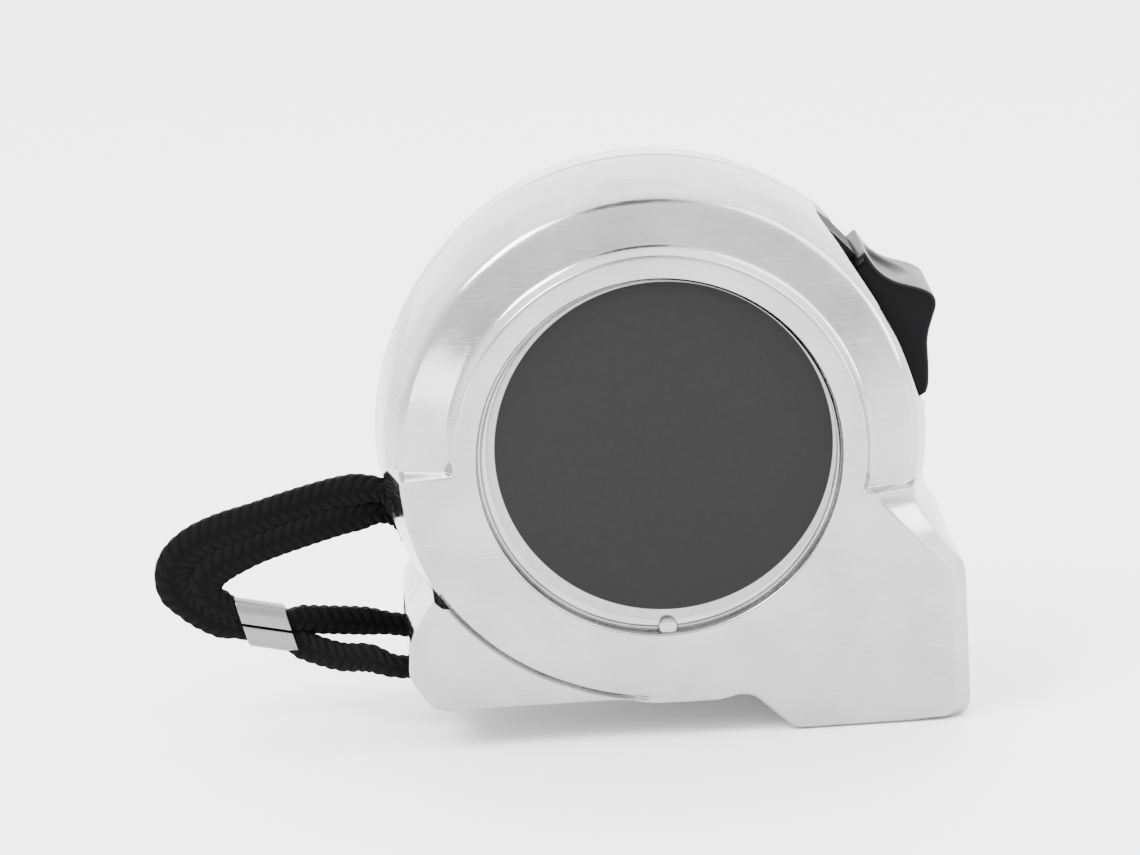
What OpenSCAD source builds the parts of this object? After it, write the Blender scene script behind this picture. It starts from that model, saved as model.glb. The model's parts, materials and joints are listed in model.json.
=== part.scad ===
/* [Tape] */
// Width of the steel blade
blade_w = 19; // [13:1:25]
// Thickness of the blade with its paint
blade_t = 0.3; // [0.15:0.05:0.4]
// Radius of the blade's hollow cross-section
blade_curve_r = 22; // [18:1:40]
// Radius of the wound tape
coil_r = 24; // [22:0.5:30]
// Number of windings drawn in the coil
coil_turns = 8; // [5:1:12]

/* [Reel] */
// Outer radius of the reel's hub
hub_r = 17; // [13:0.5:20]
// Wall of the hub around the spring
hub_wall = 1.6; // [1:0.1:2.4]
// Thickness of each reel flange
flange_t = 1.1; // [0.8:0.1:1.6]
// Radius of the fixed spindle
arbor_r = 3.2; // [2.6:0.1:4]
// Thickness of the mainspring strip
spring_t = 0.35; // [0.2:0.05:0.5]
// Number of turns of the mainspring
spring_turns = 6; // [4:1:8]

/* [Case] */
// Wall between the reel space and the drum's widest line
side_wall = 5.2; // [4.4:0.1:7]
// Wall between the reel space and the label's seat
face_wall = 3.4; // [2.6:0.1:5]
// How much the drum narrows from the parting line to the rim
draft = 2.4; // [1:0.1:3]
// Radius of the label's recess
recess_r = 22.7; // [18:0.1:23.5]
// Depth of the label's recess
recess_depth = 1.5; // [0.8:0.1:2]
// Radius of the raised ring around the recess
ring_r = 25.8; // [24.5:0.1:27]
// Height of the raised ring above the bevel
ring_step = 1.2; // [0.6:0.1:1.6]
// Thickness of the printed labels
label_t = 0.4; // [0.2:0.1:0.8]

/* [Foot and nose] */
// How far the foot's heel stays inside the drum's widest line
heel_inset = 2.2; // [1:0.1:4]
// How far the foot's sole stays above the drum's lowest point
sole_inset = 3.6; // [3:0.1:4.4]
// How far the foot's faces stand below the drum's faces
foot_step = 0.6; // [0.3:0.1:1]
// How far the nose stands in front of the drum
nose_out = 2.8; // [2:0.1:6]
// How far the nose reaches below the drum
nose_drop = 1.6; // [1:0.1:4]
// Bevel on the nose's front edges
nose_bevel = 2; // [1:0.1:2.6]

/* [Hook] */
// Thickness of the hook, which is also its float
hook_t = 1; // [0.8:0.1:1.4]
// Radius of the hook's rivets
rivet_r = 1.2; // [0.9:0.1:1.6]

/* [Lock] */
// Width of the thumb button
button_w = 15; // [10:0.5:17]
// Width of the arm that joins the button to the brake
arm_w = 7; // [5:0.5:8]
// Travel of the button around the drum, in degrees
lock_travel = 7; // [4:0.5:8]

/* [Strap and clip] */
// Width of one flat braided cord
cord_w = 3; // [2.5:0.1:3.4]
// Thickness of one flat braided cord
cord_t = 1.9; // [1.4:0.1:2.2]
// Radius of the pin that holds the strap
strap_pin_r = 1.2; // [0.9:0.1:1.4]
// Width of the belt clip
clip_w = 16; // [10:0.5:22]
// Thickness of the belt clip's steel
clip_t = 1.2; // [0.8:0.1:1.6]
// Clear gap between the belt clip and the case
clip_gap = 4.6; // [4.4:0.1:7]
// Length of the belt clip's arm
clip_len = 42; // [30:1:48]

/* [Hidden] */
$fn = 96;
eps = 0.01;

// Clearances
run_fit = 0.05;    // radial gap of a turning shaft
seat_fit = 0.02;   // radial gap of a seated pin or screw
side_gap = 0.7;    // beside a reel flange
guide_gap = 0.3;   // between the blade and what guides it
slide_gap = 0.3;   // between the lock and the case

// Reel and its space, worked outwards from the tape
blade_half = blade_w / 2;
flange_in = blade_half + guide_gap;
flange_out = flange_in + flange_t;
bay_half = flange_out + side_gap;
flange_r = coil_r + 1.5;
arm_in_r = flange_r + 1.1;
arm_t = 1.8;
arm_out_r = arm_in_r + arm_t;
bay_r = arm_out_r + 1.2;
half_depth = bay_half + face_wall + recess_depth;
seat_half = half_depth - recess_depth;
drum_r = bay_r + side_wall;
rim_r = drum_r - draft;
crown_r = drum_r - 0.8;
crown_half = half_depth / 2;
rim_half = half_depth - 4;

// Outline in the plane of the faces, from the spindle's axis
heel_x = drum_r - heel_inset;
sole_z = drum_r - sole_inset;
nose_x = drum_r + nose_out;
nose_z = drum_r + nose_drop;
ledge_rear_z = -0.8;
ledge_nose_z = -5.3;
nose_back_x = drum_r - 7.6;       // where the diagonal bevel meets the nose's ledge
toe_x = 15.4;
foot_half = half_depth - foot_step;
belly = 0.9;                      // how far the drum's flat bottom is below the sole

// Blade path
blade_z = -nose_z + 3.5;          // underside of the blade at the mouth
blade_rise = blade_curve_r - sqrt(blade_curve_r * blade_curve_r - blade_half * blade_half);
blade_end_x = nose_x - 1.6;       // rear face of the hook
blade_start_x = blade_end_x - 14;
run_start_x = blade_start_x - 3;
plate_t = 0.9;
floor_z = blade_z - guide_gap - plate_t;
mouth_top_z = blade_z + blade_rise + blade_t + 0.9;
mouth_half = blade_half + 0.8;
tongue_len = 10.2;                // of the hook's tongue on the blade
brake_x = blade_end_x - tongue_len - 3.2;
feed_r = coil_r + 0.45;

// Fasteners: shank and head sizes, and places in the outline's plane
screw_r = 1.1;
screw_head_r = 2;
screw_head_h = 1.4;
screw_spots = [[-heel_x + 10.8, -sole_z + 3.3], [nose_x - 4.2, -drum_r + 16.4], [toe_x + 1.2, -nose_z + 2.1]];
hub_screw_r = 1.4;
hub_head_r = 2.8;

// Lock, in degrees around the spindle's axis
// The button's profile is its angles, and its heights from the drum's widest line
pocket_low = 3;
button_low = 5.2;
button_high = 39;
pocket_high = button_high + lock_travel + 4;
pocket_r = bay_r + 1.6;
pocket_half = bay_half - 0.6;
tongue_r = drum_r - 0.9;          // outside of the button's tongue, which slides under the case's skin
tongue_plate_t = 1;
tongue_w_half = 4.2;
tongue_high = button_high + 10;
arm_low = -41;
leg_angle = 8;      // how far up the arm its leg begins
brake_len = 2.4;
button_profile = [[39, -0.8], [38.9, 0.3], [34.3, 0.2], [30.4, 1.15], [26.3, 3.55], [24.3, 4.3], [22.5, 4.1],
    [20.4, 3], [18.1, 1.9], [15.2, 1.15], [8.2, 0.2], [6.2, -0.3], [5.5, -1.4]];

// Strap: the pin's place, the openings in the case, and the cords' routes from the pin
pin_at = [-heel_x + 3.8, -sole_z + 9.4];
notch_top_z = pin_at[1] + 19;
notch_low_z = pin_at[1] + 11;
strap_slot_half = 5;
heel_slot_half = 9;
outer_route = [[2.6, -1.8, -2.8], [3.9, -1.8, -1.4], [3.5, -1.8, 0.6], [1.8, -1.8, 3.2],
    [-0.5, -1.8, 6.4], [-2.2, -1.7, 9.8], [-3.4, -1.4, 13], [-5.2, -1, 15.6], [-8.7, -0.5, 15.9],
    [-12.7, 0, 15.2], [-19.2, 0, 13.6], [-25.8, 0, 11.6], [-29.8, 0, 9.9], [-32.2, 0, 7.6],
    [-32.6, 0, 4.8], [-31, 0, 2], [-28.2, 0, -0.1], [-25.2, 0, -1.4], [-22.4, 0, -2.2],
    [-19.2, 0, -3.1], [-15.6, -0.8, -4.6], [-12, -2.2, -5.5], [-8.6, -3.8, -5.4], [-5.8, -5, -6.2],
    [-2.8, -5.2, -6.5], [-0.6, -4.6, -6], [1, -3.6, -5.1]];
inner_route = [[2.6, 1.8, -2.8], [3.9, 1.8, -1.4], [3.5, 1.8, 0.6], [1.8, 1.8, 3.2], [-0.5, 1.8, 6.4],
    [-2.1, 1.7, 9.2], [-3.8, 1.2, 11.6], [-6.2, 0.5, 12.5], [-9.2, 0.2, 12.3], [-12.7, 0, 11.6],
    [-19.2, 0, 9.8], [-24, 0, 8.2], [-27, 0, 6.8], [-28.6, 0, 5.1], [-28.4, 0, 3.1], [-26.7, 0, 1.7],
    [-24.6, 0, 0.7], [-22.2, 0, 0.1], [-19.2, 0, -0.6], [-15.6, 0.5, -1.1], [-12, 1.4, -1.7],
    [-8.6, 2.2, -2.3], [-5.6, 2.8, -3], [-2.8, 3, -3.6], [-0.6, 2.9, -4], [1, 2.6, -3.9]];

// Belt clip
clip_foot_y = seat_half + label_t;
clip_arm_y = half_depth + clip_gap;
clip_back_y = clip_arm_y + clip_t;
clip_top_z = recess_r - 4.7;
clip_screw_z = clip_top_z - 6;
clip_foot_low = hub_head_r + 1.2;
clip_bend_r = (clip_back_y - clip_foot_y) / 2;

// The origin is below the middle of the case and its clip, on the resting plane
mid_x = (nose_x - drum_r) / 2;
mid_y = (clip_back_y - half_depth) / 2;

// Places a child in the part's own frame
module placed() translate([-mid_x, -mid_y, nose_z]) children();
// Turns a child drawn in the outline's plane to stand upright, extruded towards the front or rear
module upright() rotate([90, 0, 0]) children();
module to_front() upright() children();
module to_rear() mirror([0, 1, 0]) upright() children();
// An outline extruded evenly about the parting plane
module across(half) upright() translate([0, 0, -half]) linear_extrude(2 * half) children();
// A cylinder along the depth, from one depth to another (positive is the rear)
module rod(r, from, to) translate([0, to, 0]) upright() cylinder(r = r, h = to - from);
module tube_rod(r_out, r_in, from, to) difference() {
    rod(r_out, from, to);
    rod(r_in, from - 1, to + 1);
}
module at_spot(spot) translate([spot[0], 0, spot[1]]) children();
module at_plane(spot) translate([spot[0], spot[1], 0]) children();

// A sector of the outline's plane
module sector(from, to, reach) polygon(concat([[0, 0]],
    [for (i = [0:4]) let (a = from + (to - from) * i / 4) [reach * cos(a), reach * sin(a)]]));
// A curved bar about the spindle, evenly to both sides of the parting plane
module arc_bar(r_in, r_out, from, to, half) intersection() {
    tube_rod(r_out, r_in, -half, half);
    across(half + 1) sector(from, to, 2 * r_out);
}

// A flat spiral strip
function spiral_edge(r0, r1, turns, a0) = [for (i = [0:24 * turns]) let (a = a0 + 15 * i,
    r = r0 + (r1 - r0) * i / (24 * turns)) [r * cos(a), r * sin(a)]];
function backwards(list) = [for (i = [len(list) - 1:-1:0]) list[i]];
module spiral(r0, r1, turns, strip_t, a0) polygon(concat(spiral_edge(r0, r1 - strip_t, turns, a0),
    backwards(spiral_edge(r0 + strip_t, r1, turns, a0))));

// The case's outline below the drum
module foot_outline() polygon([[-10, -20], [-rim_r * cos(27), -rim_r * sin(27)],
    [-heel_x + 0.2, -sole_z + 9.4], [-heel_x, -sole_z + 4.6], [-heel_x + 2.8, -sole_z + 0.4],
    [-heel_x + 4.5, -sole_z], [toe_x - 3, -sole_z], [toe_x - 3, -20]]);
module nose_outline() polygon([[5, -22], [5, -sole_z], [toe_x - 5.8, -sole_z], [toe_x, -nose_z],
    [nose_x - 1.4, -nose_z], [nose_x - 0.4, -nose_z + 0.4], [nose_x, -nose_z + 1.4],
    [nose_x, -drum_r + 17.8], [nose_x - 0.4, -drum_r + 19], [nose_x - 3.2, -drum_r + 23.2],
    [nose_x - 5.2, -drum_r + 27], [rim_r * cos(9.4), ledge_nose_z], [20, ledge_nose_z]]);

// Half of the drum, cut flat below a little lower than the sole
module drum_half() intersection() {
    drum_turning();
    translate([-2 * drum_r, -sole_z - belly, -1]) cube([4 * drum_r, 4 * drum_r, half_depth + 2]);
}
// The turned forms: the bevelled crown above the ledges and the flat face below them
module drum_turning() {
    rotate_extrude() polygon([[0, 0], [drum_r, 0], [crown_r, crown_half], [rim_r, rim_half],
        [rim_r - 0.7, rim_half + 0.6], [ring_r, half_depth - ring_step], [ring_r, half_depth],
        [0, half_depth]]);
    intersection() {
        rotate_extrude() polygon([[0, 0], [drum_r, 0], [crown_r, crown_half], [rim_r, half_depth],
            [0, half_depth]]);
        linear_extrude(half_depth) polygon([[-2 * drum_r, ledge_rear_z], [-10, ledge_rear_z],
            [10, ledge_nose_z], [2 * drum_r, ledge_nose_z], [2 * drum_r, -2 * drum_r],
            [-2 * drum_r, -2 * drum_r]]);
    }
}

// Cuts the bevels of the nose's diagonal and front edge
module nose_bevels() {
    translate([nose_x, 0, half_depth - nose_bevel]) rotate([0, -45, 0])
        translate([0, -2 * drum_r, 0]) cube([10, 2 * drum_r + ledge_nose_z - 8, 10]);
    translate([nose_back_x, ledge_nose_z, half_depth]) rotate([0, 0, -50.5])
        rotate([38, 0, 0]) translate([-8, 0, 0]) cube([26, 12, 6]);
}

// The outer form of half a case
module half_form() {
    difference() {
        union() {
            drum_half();
            linear_extrude(foot_half) foot_outline();
            linear_extrude(half_depth) nose_outline();
        }
        nose_bevels();
        translate([0, 0, seat_half]) cylinder(r = recess_r, h = recess_depth + 1);
    }
    // Key that stops the label turning
    translate([0, -recess_r + 0.4, seat_half - eps]) intersection() {
        cylinder(r = 1.6, h = recess_depth * 0.8);
        translate([-3, 0, 0]) cube([6, 3, 3]);
    }
}

// The space inside half a case, in the outline's plane
module feed_space() polygon([[-6, -20], [-6, -bay_r + 1.5], [7, -bay_r], [toe_x + 2, floor_z + 0.6],
    [toe_x + 5, floor_z], [nose_x + 2, floor_z], [nose_x + 2, mouth_top_z], [toe_x + 7, mouth_top_z],
    [toe_x - 1, -20]]);
module brake_space() polygon([[16, -12], [toe_x + 4, mouth_top_z - 1], [nose_x - 5.6, mouth_top_z - 1],
    [nose_x - 5.6, -drum_r + 13.4], [nose_x - 8, -drum_r + 16], [26, -11]]);
module strap_space() polygon([[-bay_r + 9.6, notch_top_z], [-drum_r - 2, notch_top_z],
    [-drum_r - 2, notch_low_z], [-drum_r + 2, notch_low_z - 1.2], [-heel_x + 2.2, -sole_z + 12.6],
    [-heel_x + 1.8, -sole_z + 10], [-heel_x + 8.6, -sole_z + 5], [-bay_r + 9.6, -sole_z + 9.2]]);
module half_space() {
    translate([0, 0, -1]) cylinder(r = bay_r, h = bay_half + 1);
    translate([0, 0, -1]) linear_extrude(mouth_half + 1) feed_space();
    translate([0, 0, -1]) linear_extrude(arm_w / 2 + slide_gap + 1) brake_space();
    // Recess for the hook, open below and in front
    translate([blade_end_x - slide_gap, -nose_z - 1, -1])
        cube([5, mouth_top_z + nose_z + 2.6, mouth_half + 1]);
    // Seat of the mouth bumper
    translate([blade_end_x - slide_gap - 2.6, mouth_top_z - 1, -1]) cube([4, 3.6, mouth_half - 0.8]);
    // Button's pocket and the slot for its stem
    difference() {
        translate([0, 0, -1]) linear_extrude(pocket_half + 1) sector(pocket_low, pocket_high, 2 * drum_r);
        translate([0, 0, -2]) cylinder(r = pocket_r, h = half_depth);
    }
    // Groove for the button's tongue
    intersection() {
        difference() {
            translate([0, 0, -1]) cylinder(r = tongue_r + 0.1, h = tongue_w_half + slide_gap + 1);
            translate([0, 0, -2]) cylinder(r = tongue_r - tongue_plate_t - 0.1, h = half_depth);
        }
        translate([0, 0, -1])
            linear_extrude(half_depth) sector(button_high, tongue_high + lock_travel + 1, 2 * drum_r);
    }
    translate([0, 0, -1]) linear_extrude(arm_w / 2 + slide_gap + 1)
        sector(button_low + 2, pocket_high - 2, 2 * drum_r);
    // Strap's way from the notch behind the wall to the heel
    difference() {
        translate([0, 0, -1]) linear_extrude(strap_slot_half + 1) strap_space();
        translate([0, 0, -2]) cylinder(r = bay_r + 0.9, h = half_depth);
    }
    translate([-heel_x - 2, -sole_z + 1.2, -1]) cube([6.2, 7.4, heel_slot_half + 1]);
    translate([-heel_x + 1, -sole_z + 1.2, -1]) cube([8, 7.4, strap_slot_half + 2.4]);
    // Strap pin
    at_plane(pin_at) translate([0, 0, -1]) cylinder(r = strap_pin_r + seat_fit, h = bay_half + 1);
    // Spindle's socket
    cylinder(r = arbor_r + seat_fit, h = bay_half + 0.8);
}

// Pillars that the case screws pass through, kept where the space was cut
module half_pillars() {
    for (spot = screw_spots) at_plane(spot) cylinder(r = 2.1, h = bay_half);
}

module half_case(hole_r) difference() {
    union() {
        difference() {
            half_form();
            half_space();
        }
        intersection() {
            half_pillars();
            difference() {
                half_form();
                translate([0, 0, -1]) linear_extrude(half_depth) feed_space();
            }
        }
    }
    for (spot = screw_spots) at_plane(spot) translate([0, 0, -1]) cylinder(r = hole_r, h = bay_half - 1);
}

module front_shell() color("gainsboro") placed() to_front() half_case(screw_r + seat_fit);

module rear_shell() color("gainsboro") placed() to_rear() difference() {
    half_case(screw_r + 0.15);
    for (spot = screw_spots) at_plane(spot) {
        translate([0, 0, -1]) cylinder(r = screw_r + 0.15, h = half_depth + 2);
        translate([0, 0, bay_half]) cylinder(r = screw_head_r + 0.2, h = half_depth);
    }
    // Centre screw
    cylinder(r = hub_screw_r + 0.15, h = half_depth);
    // Belt clip's screw
    translate([0, clip_screw_z, bay_half + 0.6]) cylinder(r = hub_screw_r + seat_fit, h = half_depth);
}

// A label with its key notch
module label_disc() translate([0, 0, seat_half]) difference() {
    cylinder(r = recess_r - 0.9, h = label_t);
    translate([0, -recess_r + 0.4, -1]) cylinder(r = 1.8, h = 3);
}
module front_label() color("dimgray") placed() to_front() label_disc();
module rear_label() color("dimgray") placed() to_rear() difference() {
    label_disc();
    cylinder(r = 3.4, h = half_depth);
    at_plane([0, clip_screw_z]) cylinder(r = hub_screw_r + 0.3, h = half_depth);
}

// A screw along the depth, with its head at the rear
module screw(shank_r, head_r, head_h, head_at, tip_at) difference() {
    union() {
        rod(shank_r, tip_at, head_at + eps);
        rod(head_r, head_at, head_at + head_h);
    }
    translate([-head_r, head_at + head_h - 0.6, -0.3]) cube([2 * head_r, 1, 0.6]);
    translate([-0.3, head_at + head_h - 0.6, -head_r]) cube([0.6, 1, 2 * head_r]);
}
module case_screws() color("silver") placed() for (spot = screw_spots)
    at_spot(spot) screw(screw_r, screw_head_r, screw_head_h, bay_half, -bay_half + 3.2);

// Fixed spindle, slit for the mainspring's inner end
module arbor() color("silver") placed() difference() {
    rod(arbor_r, -bay_half - 0.8, bay_half + 0.8);
    translate([-0.5, -8.8, -arbor_r - 1]) cube([1, 17.6, arbor_r + 0.4]);
    rod(hub_screw_r + seat_fit, bay_half - 3, bay_half + 2);
}
module arbor_screw() color("silver") placed()
    screw(hub_screw_r, hub_head_r, 1.2, seat_half, bay_half - 2.6);
module reel_washers() color("white") placed() for (side = [-1, 1])
    translate([0, side * (flange_out + side_gap / 2), 0])
        tube_rod(arbor_r + 3, arbor_r + run_fit, -0.3, 0.3);

module reel() color("orange") placed() {
    tube_rod(hub_r, hub_r - hub_wall, -flange_in - eps, flange_in);
    tube_rod(flange_r, arbor_r + run_fit, -flange_out, -flange_in);
    tube_rod(arbor_r + 1.6, arbor_r + run_fit, -flange_in - eps, -flange_in + 0.8);
}
module reel_cover() color("darkorange") placed() {
    tube_rod(flange_r, arbor_r + run_fit, flange_in, flange_out);
    tube_rod(hub_r - hub_wall - 0.1, hub_r - hub_wall - 1.1, flange_in - 0.9, flange_in + eps);
}
module mainspring() color("steelblue") placed() {
    across(8.4) spiral(arbor_r + 0.4, hub_r - hub_wall - 0.2, spring_turns, spring_t, -90);
    // Inner end, held in the spindle's slit
    translate([-spring_t / 2, -8.4, -arbor_r - 0.4 - spring_t / 2]) cube([spring_t, 16.8, arbor_r - 0.6]);
}
module tape_coil() color("gold") placed()
    across(blade_half) spiral(hub_r + 0.25, coil_r, coil_turns, (coil_r - hub_r) / coil_turns * 0.8, 200);

// The hollow strip of the blade, lying along X, with its underside at the given height
module blade_strip(from, to, z) translate([from, 0, z + blade_curve_r]) rotate([90, 0, 90])
    linear_extrude(to - from) intersection() {
        difference() {
            circle(r = blade_curve_r);
            circle(r = blade_curve_r - blade_t);
        }
        translate([-blade_half, -blade_curve_r - 1]) square([blade_w, blade_curve_r]);
    }

// Flat stretch between the coil and the nose, on a line that touches the coil
feed_far = sqrt(run_start_x * run_start_x + blade_z * blade_z);
feed_angle = atan2(blade_z, run_start_x) - acos(feed_r / feed_far);
feed_len = sqrt(feed_far * feed_far - feed_r * feed_r);
module tape_feed() color("gold") placed() rotate([0, -feed_angle - 90, 0])
    translate([0.4, -blade_half, -feed_r]) cube([feed_len - 1, blade_w, blade_t]);
module tape_run() color("gold") placed() blade_strip(run_start_x, blade_start_x - 0.05, blade_z);

rivet_xs = [blade_end_x - 3.4, blade_end_x - 7.4];
tongue_half = 4.6;
tongue_z = blade_z + blade_t + 0.55;
tongue_t = 0.8;
module tape_blade() color("gold") placed() difference() {
    blade_strip(blade_start_x, blade_end_x - 0.3, blade_z);
    for (x = rivet_xs) translate([x, 0, blade_z - 2]) cylinder(r = rivet_r + seat_fit, h = 5);
}
module hook_rivets() color("silver") placed() for (x = rivet_xs) translate([x, 0, 0]) {
    translate([0, 0, blade_z - 0.1]) cylinder(r = rivet_r, h = tongue_z + tongue_t + 0.2 - blade_z);
    translate([0, 0, tongue_z + tongue_t + 0.1]) cylinder(r1 = rivet_r + 0.9, r2 = rivet_r + 0.3, h = 0.5);
}
module end_hook() color("silver") placed() {
    translate([blade_end_x, -blade_half, -nose_z + 0.3])
        cube([hook_t, blade_w, mouth_top_z + nose_z + 0.8]);
    difference() {
        translate([blade_end_x - tongue_len, -tongue_half, tongue_z])
            cube([tongue_len + eps, 2 * tongue_half, tongue_t]);
        // Slots that let the hook slide by its own thickness
        for (x = rivet_xs, dx = [0, -hook_t]) translate([x + dx, 0, tongue_z - 1])
            cylinder(r = rivet_r + run_fit, h = 3);
        for (x = rivet_xs) translate([x - hook_t, -rivet_r - run_fit, tongue_z - 1])
            cube([hook_t, 2 * (rivet_r + run_fit), 3]);
    }
}
module mouth_plate() color("lightsteelblue") placed()
    translate([toe_x + 8, -mouth_half + 0.2, floor_z])
        cube([blade_end_x - slide_gap - toe_x - 8.2, 2 * mouth_half - 0.4, plate_t]);
module mouth_bumper() color("black") placed()
    translate([blade_end_x - slide_gap - 2.4, -mouth_half + 2, mouth_top_z - 0.6])
        cube([2.3, 2 * mouth_half - 4, 3]);

// Thumb button: a saddle with a ridge, riding on the drum's pocket
module button_outline() polygon(concat(
    [for (p = button_profile) (drum_r + p[1]) * [cos(p[0]), sin(p[0])]],
    [for (i = [0:4]) let (a = button_low + 1 + (button_high - button_low - 1.5) * i / 4)
        (pocket_r - 1) * [cos(a), sin(a)]]));
module lock_button() color("black") placed() {
    difference() {
        across(button_w / 2) button_outline();
        rod(pocket_r + slide_gap, -half_depth, half_depth);
    }
    // Stem through the case's wall
    arc_bar(arm_out_r, pocket_r + slide_gap + 0.2, 12, 34, arm_w / 2);
    // Tongue that keeps the slot covered
    arc_bar(tongue_r - tongue_plate_t, tongue_r, button_high - 3, tongue_high, tongue_w_half);
}
module lock_arm() color("dimgray") placed() {
    arc_bar(arm_in_r, arm_out_r, arm_low, 40, arm_w / 2);
    // Leg down to the brake
    across(arm_w / 2) polygon([arm_in_r * [cos(arm_low), sin(arm_low)],
        arm_in_r * [cos(arm_low + 6), sin(arm_low + 6)],
        arm_out_r * [cos(arm_low + leg_angle), sin(arm_low + leg_angle)],
        [brake_x + brake_len, mouth_top_z + 3.2], [brake_x + brake_len, mouth_top_z + 0.4],
        [brake_x, mouth_top_z + 0.4]]);
}
module brake_pad() color("black") placed()
    translate([brake_x, -arm_w / 2, blade_z + blade_t + 0.6])
        cube([brake_len, arm_w, mouth_top_z + 0.4 - blade_z - blade_t - 0.6]);
// Leaf spring that clicks the lock into place
module detent_spring() color("steelblue") placed()
    arc_bar(arm_out_r + 0.2, arm_out_r + 0.6, arm_low + leg_angle + lock_travel + 1.5, 0, 3);

module strap_pin() color("silver") placed() at_spot(pin_at) rod(strap_pin_r, -bay_half, bay_half);

// A flat cord swept along a route: its wide side follows the plane of the loop
cord_sides = 8;
function unit(v) = v / norm(v);
function along(route, i) = unit(route[min(i + 1, len(route) - 1)] - route[max(i - 1, 0)]);
function cord_ring(route, i) = let (t = along(route, i), s = unit(cross(t, [0, 1, 0])), d = cross(s, t))
    [for (k = [0:cord_sides - 1]) let (a = 360 * (k + 0.5) / cord_sides)
        route[i] + s * (cord_w / 2 * cos(a)) + d * (cord_t / 2 * sin(a))];
module cord(route) {
    rings = len(route);
    points = [for (i = [0:rings - 1]) each cord_ring(route, i)];
    sides = [for (i = [0:rings - 2], k = [0:cord_sides - 1]) let (n = (k + 1) % cord_sides,
        a = i * cord_sides, b = a + cord_sides) each [[a + k, a + n, b + n], [a + k, b + n, b + k]]];
    ends = [[for (k = [cord_sides - 1:-1:0]) k], [for (k = [0:cord_sides - 1]) (rings - 1) * cord_sides + k]];
    polyhedron(points, concat(sides, ends), convexity = 8);
}
module strap_outer() color("black") placed() at_spot(pin_at) cord(outer_route);
module strap_inner() color("black") placed() at_spot(pin_at) cord(inner_route);

// Aluminium crimp around both cords
clamp_from = [-24.8, 0, -0.2];
clamp_len = 6.4;
crimp_t = 0.4;
crimp_fit = 0.25;
clamp_tilt = 16;
module strap_clamp() color("silver") placed() at_spot(pin_at)
    translate(clamp_from) rotate([0, clamp_tilt, 0]) difference() {
        rotate([90, 0, 90]) linear_extrude(clamp_len) crimp_outline(crimp_t);
        translate([-1, 0, 0]) rotate([90, 0, 90]) linear_extrude(clamp_len + 2) crimp_outline(0);
        translate([-1, -3, -0.25]) cube([clamp_len + 2, 2.6, 0.5]);
    }
module crimp_outline(wall) {
    // The cords are squeezed to five sixths of their width
    half_z = cord_w * 5 / 6 - cord_t / 2 - crimp_fit;
    reach = cord_t / 2 + crimp_fit + wall;
    for (z = [-half_z, half_z]) translate([0, z]) circle(r = reach, $fn = 32);
    translate([-reach, -half_z]) square([2 * reach, 2 * half_z]);
}

module belt_clip() color("silver") placed() {
    difference() {
        translate([-clip_w / 2, clip_foot_y, clip_foot_low])
            cube([clip_w, clip_t, clip_top_z - clip_foot_low + eps]);
        translate([0, 0, clip_screw_z]) rod(hub_screw_r + 0.15, 0, 2 * half_depth);
    }
    // Bend over the top
    translate([-clip_w / 2, clip_foot_y + clip_bend_r, clip_top_z]) rotate([0, 90, 0]) difference() {
        cylinder(r = clip_bend_r, h = clip_w);
        translate([0, 0, -1]) cylinder(r = clip_bend_r - clip_t, h = clip_w + 2);
        translate([0, -2 * clip_bend_r, -1]) cube([2 * clip_bend_r, 4 * clip_bend_r, clip_w + 2]);
    }
    translate([-clip_w / 2, clip_arm_y, clip_top_z - clip_len + 4])
        cube([clip_w, clip_t, clip_len - 4 + eps]);
    // Turned-in tip
    translate([-clip_w / 2, 0, clip_top_z - clip_len + 4]) rotate([90, 0, 90]) linear_extrude(clip_w)
        polygon([[clip_back_y, eps], [clip_arm_y, eps], [half_depth + 0.5, -5.4], [half_depth + 0.8, -6.6],
            [half_depth + 3.6, -9.4], [half_depth + 4.5, -8.6], [half_depth + 2.1, -6.1]]);
}
module clip_screw() color("silver") placed() at_spot([0, clip_screw_z])
    screw(hub_screw_r, hub_head_r, 1, clip_foot_y + clip_t, bay_half + 1);

front_shell();
rear_shell();
front_label();
rear_label();
case_screws();
arbor();
arbor_screw();
reel_washers();
reel();
reel_cover();
mainspring();
tape_coil();
tape_feed();
tape_run();
tape_blade();
hook_rivets();
end_hook();
mouth_plate();
mouth_bumper();
lock_button();
lock_arm();
brake_pad();
detent_spring();
strap_pin();
strap_outer();
strap_inner();
strap_clamp();
belt_clip();
clip_screw();
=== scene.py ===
import json
import math

import bmesh
import bpy
import numpy as np
from mathutils import Matrix, Vector


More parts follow.
